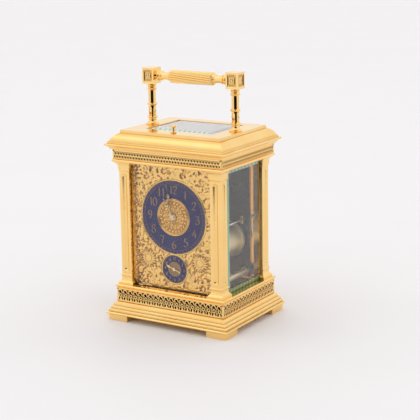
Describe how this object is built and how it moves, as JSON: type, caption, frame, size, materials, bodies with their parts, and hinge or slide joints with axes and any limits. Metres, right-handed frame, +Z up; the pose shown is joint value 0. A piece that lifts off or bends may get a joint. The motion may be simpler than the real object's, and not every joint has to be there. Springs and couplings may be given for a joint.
{
  "type": "carriage clock",
  "caption": "Carriage clock with glazed gilt case, fluted corner pillars, pierced bands, folding handle, repeat button, hinged back door, alarm dial and platform movement.",
  "frame": {"origin": "middle of the feet's underside", "axes": "+X to the right of the dial as it is read, dial faces -Y, +Z up"},
  "size_m": [0.1, 0.0834, 0.1764],
  "materials": {
    "gilt_case": "polished gilt, faint horizontal polishing lines",
    "gilt_plate": "mirror-polished gilt top plate",
    "gilt_handle": "bright polished gilt",
    "gilt_mask": "satin gilt, relief engraved",
    "gilt_hand": "polished gilt",
    "brass": "satin",
    "brass_plate": "brushed",
    "bronze": "dark satin",
    "silvered": "silvered satin",
    "steel": "polished",
    "blued_steel": "heat blued",
    "enamel": "glossy navy enamel",
    "glass": "clear, bevelled edges"
  },
  "bodies": {
    "case": {"base_plinth": "gilt_case", "base_fret": "gilt_case", "base_ledge": "gilt_case", "pillar_front_left": "gilt_case", "pillar_front_right": "gilt_case", "pillar_back_left": "gilt_case", "pillar_back_right": "gilt_case", "architrave": "gilt_case", "frieze_fret": "gilt_case", "cornice": "gilt_case", "top_plate": "gilt_plate", "top_glass": "glass", "front_glass": "glass", "left_glass": "glass", "right_glass": "glass", "handle_foot_left": "gilt_handle", "handle_foot_right": "gilt_handle", "button_collar": "gilt_handle", "case_screws": "steel", "fold_pins": "steel", "front_plate": "brass_plate", "back_plate": "brass_plate", "movement_pillars": "brass", "movement_screws": "blued_steel", "gong": "blued_steel", "gong_block": "brass", "platform": "silvered", "balance_cock": "silvered", "dial_mask": "gilt_mask", "chapter_ring": "enamel", "dial_centre": "gilt_mask", "alarm_ring": "enamel", "alarm_centre": "bronze"},
    "door": {"door_frame": "gilt_case", "door_glass": "glass"},
    "latch": {"door_knob": "gilt_handle"},
    "handle": {"handle_post_left": "gilt_handle", "handle_post_right": "gilt_handle", "handle_block_left": "gilt_handle", "handle_block_right": "gilt_handle", "handle_grip": "gilt_handle"},
    "repeat": {"repeat_button": "gilt_handle"},
    "hammer": {"hammer": "steel"},
    "going": {"going_barrel": "brass"},
    "going_winder": {"going_arbor": "steel"},
    "strike": {"strike_barrel": "brass"},
    "strike_winder": {"strike_arbor": "steel"},
    "centre": {"centre_wheel": "brass", "cannon_pinion": "steel", "minute_hand": "gilt_hand"},
    "motion": {"minute_wheel": "brass"},
    "hour": {"hour_wheel": "brass", "hour_hand": "gilt_hand"},
    "third": {"third_wheel": "brass"},
    "contrate": {"contrate_wheel": "brass"},
    "balance": {"balance_wheel": "brass", "hairspring": "blued_steel"},
    "escape": {"escape_wheel": "steel"},
    "lever": {"pallet_lever": "steel"},
    "alarm": {"alarm_hand": "gilt_hand"}
  },
  "joints": [
    {"name": "handle_fold", "type": "hinge", "parent": "case", "child": "handle", "pos_m": [0, 0, 0.1457], "axis": [-1, 0, 0], "range_deg": [0, 96]},
    {"name": "button_press", "type": "slide", "parent": "case", "child": "repeat", "axis": [0, 0, -1], "range_m": [0, 0.002], "stiffness_N_per_m": 250, "springref_m": -0.0004},
    {"name": "door_swing", "type": "hinge", "parent": "case", "child": "door", "pos_m": [-0.03085, 0.03085, 0.0697], "axis": [0, 0, 1], "range_deg": [0, 90]},
    {"name": "latch_turn", "type": "hinge", "parent": "door", "child": "latch", "pos_m": [0.03005, 0.03085, 0.0697], "axis": [0, 1, 0], "range_deg": [0, 90]},
    {"name": "minute_spin", "type": "hinge", "parent": "case", "child": "centre", "pos_m": [0, 0, 0.0774], "axis": [0, 1, 0], "continuous": true},
    {"name": "hour_spin", "type": "hinge", "parent": "case", "child": "hour", "pos_m": [0, 0, 0.0774], "axis": [0, 1, 0], "continuous": true},
    {"name": "motion_spin", "type": "hinge", "parent": "case", "child": "motion", "pos_m": [-0.00846, 0, 0.07432], "axis": [0, 1, 0], "continuous": true},
    {"name": "going_spin", "type": "hinge", "parent": "case", "child": "going", "pos_m": [-0.01196, 0, 0.0656], "axis": [0, 1, 0], "continuous": true},
    {"name": "third_spin", "type": "hinge", "parent": "case", "child": "third", "pos_m": [0.00899, 0, 0.09063], "axis": [0, 1, 0], "continuous": true},
    {"name": "contrate_spin", "type": "hinge", "parent": "case", "child": "contrate", "pos_m": [0, 0, 0.10083], "axis": [0, 1, 0], "continuous": true},
    {"name": "strike_spin", "type": "hinge", "parent": "case", "child": "strike", "pos_m": [0.0152, 0, 0.054], "axis": [0, 1, 0], "continuous": true},
    {"name": "going_wind", "type": "hinge", "parent": "case", "child": "going_winder", "pos_m": [-0.01196, 0, 0.0656], "axis": [0, 1, 0], "continuous": true},
    {"name": "strike_wind", "type": "hinge", "parent": "case", "child": "strike_winder", "pos_m": [0.0152, 0, 0.054], "axis": [0, 1, 0], "continuous": true},
    {"name": "escape_spin", "type": "hinge", "parent": "case", "child": "escape", "pos_m": [0, 0.00325, 0.115], "axis": [0, 0, 1], "continuous": true},
    {"name": "lever_rock", "type": "hinge", "parent": "case", "child": "lever", "pos_m": [-0.0036, 0.00225, 0.115], "axis": [0, 0, 1], "range_deg": [-8, 8]},
    {"name": "balance_swing", "type": "hinge", "parent": "case", "child": "balance", "pos_m": [-0.0076, 0.00125, 0.118], "axis": [0, 0, 1], "range_deg": [-150, 150], "stiffness_Nm_per_rad": 0.000002},
    {"name": "hammer_swing", "type": "hinge", "parent": "case", "child": "hammer", "pos_m": [0.02775, 0, 0.0697], "axis": [0, 1, 0], "range_deg": [-10, 4], "stiffness_Nm_per_rad": 0.002},
    {"name": "alarm_set", "type": "hinge", "parent": "case", "child": "alarm", "pos_m": [0, 0, 0.0403], "axis": [0, 1, 0], "continuous": true}
  ],
  "couplings": [
    {"joint": "hour_spin", "follows": "minute_spin", "ratio": 0.083333},
    {"joint": "motion_spin", "follows": "minute_spin", "ratio": -0.33333},
    {"joint": "going_spin", "follows": "minute_spin", "ratio": -0.2},
    {"joint": "third_spin", "follows": "minute_spin", "ratio": -9},
    {"joint": "contrate_spin", "follows": "minute_spin", "ratio": 67.5}
  ]
}
